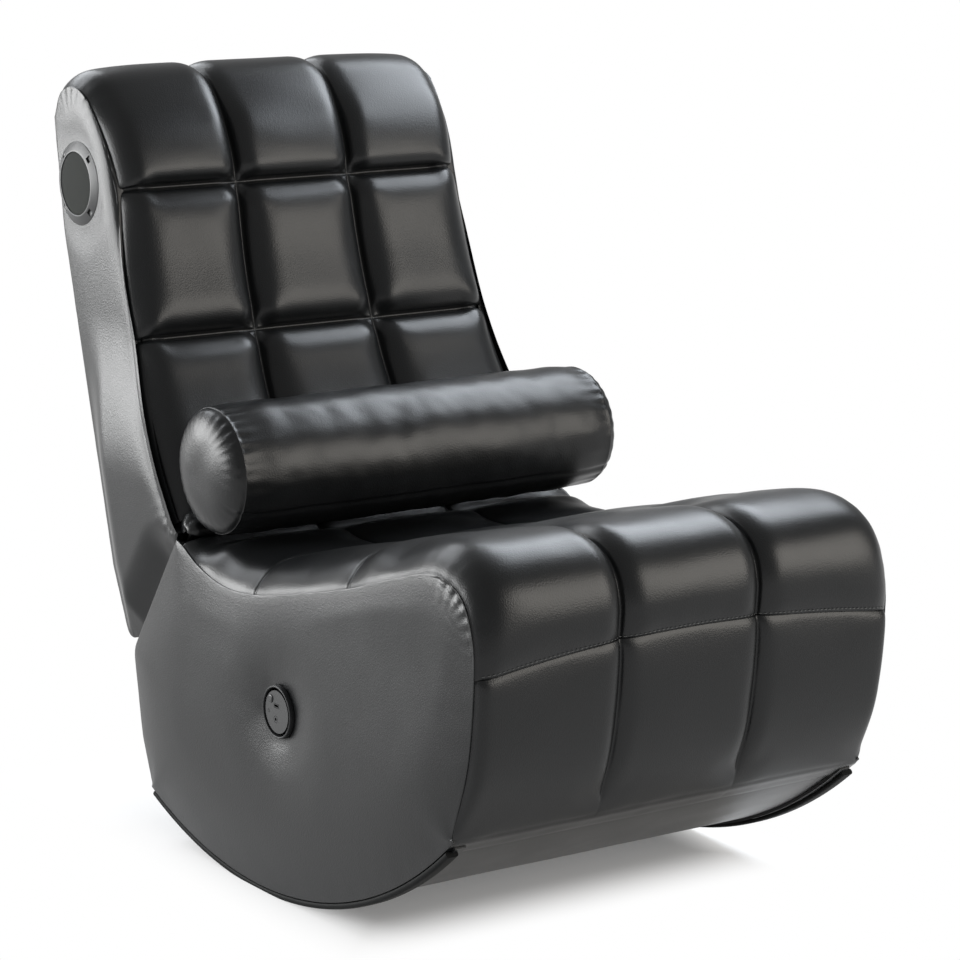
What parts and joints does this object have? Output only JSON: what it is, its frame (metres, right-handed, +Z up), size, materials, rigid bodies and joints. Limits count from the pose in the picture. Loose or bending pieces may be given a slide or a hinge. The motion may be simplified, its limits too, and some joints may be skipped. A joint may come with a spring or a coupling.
{
  "type": "floor rocker chair",
  "caption": "Padded floor rocker chair: quilted back folds forward on hinges over a seat on curved rails, with head speakers, a side control panel and a loose bolster.",
  "frame": {"origin": "on the floor, under the middle of the chair's bounding box", "axes": "+Z up, the sitter faces -Y, and +X runs across the chair; the control panel is on the -X side"},
  "size_m": [0.452, 0.7931, 0.7234],
  "materials": {
    "leatherette": "satin",
    "plywood": "matte",
    "hardboard": "matte",
    "lining": "matte",
    "black_plastic": "satin",
    "grille_cloth": "matte",
    "cone_paper": "matte",
    "zinc_steel": "satin",
    "ferrite": "matte",
    "black_rubber": "matte",
    "circuit_board": "satin",
    "led_lens": "gloss"
  },
  "bodies": {
    "base": {"amplifier_board": "circuit_board", "aux_jack": "zinc_steel", "base_side_left": "plywood", "base_side_right": "plywood", "bottom_panel": "lining", "control_bezel": "black_plastic", "control_face": "black_plastic", "front_board": "plywood", "front_pad": "leatherette", "hinge_leaf_base_left": "zinc_steel", "hinge_leaf_base_right": "zinc_steel", "hinge_pin_left": "zinc_steel", "hinge_pin_right": "zinc_steel", "rear_apron_board": "plywood", "rear_cover": "leatherette", "rear_slope_board": "plywood", "rocker_rail_left": "black_plastic", "rocker_rail_right": "black_plastic", "seat_cushion": "leatherette", "seat_deck": "plywood", "side_pad_left": "leatherette", "side_pad_right": "leatherette", "status_led": "led_lens", "usb_port": "zinc_steel"},
    "back": {"back_cover": "leatherette", "back_cushion": "leatherette", "back_gusset_left": "leatherette", "back_gusset_right": "leatherette", "back_panel": "hardboard", "back_side_left": "plywood", "back_side_right": "plywood", "head_rail": "plywood", "heel_board": "plywood", "heel_bumper_left": "black_rubber", "heel_bumper_right": "black_rubber", "hinge_leaf_back_left": "zinc_steel", "hinge_leaf_back_right": "zinc_steel", "lumbar_rail": "plywood", "shoulder_rail": "plywood", "speaker_bezel_left": "black_plastic", "speaker_bezel_right": "black_plastic", "speaker_cone_left": "cone_paper", "speaker_cone_right": "cone_paper", "speaker_frame_left": "zinc_steel", "speaker_frame_right": "zinc_steel", "speaker_grille_left": "grille_cloth", "speaker_grille_right": "grille_cloth", "speaker_magnet_left": "ferrite", "speaker_magnet_right": "ferrite"},
    "bolster": {"bolster_cap_left": "leatherette", "bolster_cap_right": "leatherette", "bolster_roll": "leatherette"},
    "power_button": {"power_button": "black_plastic"}
  },
  "joints": [
    {"name": "back_fold", "type": "hinge", "parent": "base", "child": "back", "pos_m": [0, 0.11866, 0.30592], "axis": [1, 0, 0], "range_deg": [0, 100]},
    {"name": "bolster_lift", "type": "slide", "parent": "base", "child": "bolster", "axis": [0, -0.9397, 0.342], "range_m": [0, 0.5412]},
    {"name": "power_press", "type": "slide", "parent": "base", "child": "power_button", "axis": [1, 0, 0], "range_m": [0, 0.0012], "stiffness_N_per_m": 400, "springref_m": -0.0005}
  ],
  "couplings": [
    {"joint": "bolster_lift", "follows": "back_fold", "m_per_rad": 0.31}
  ]
}
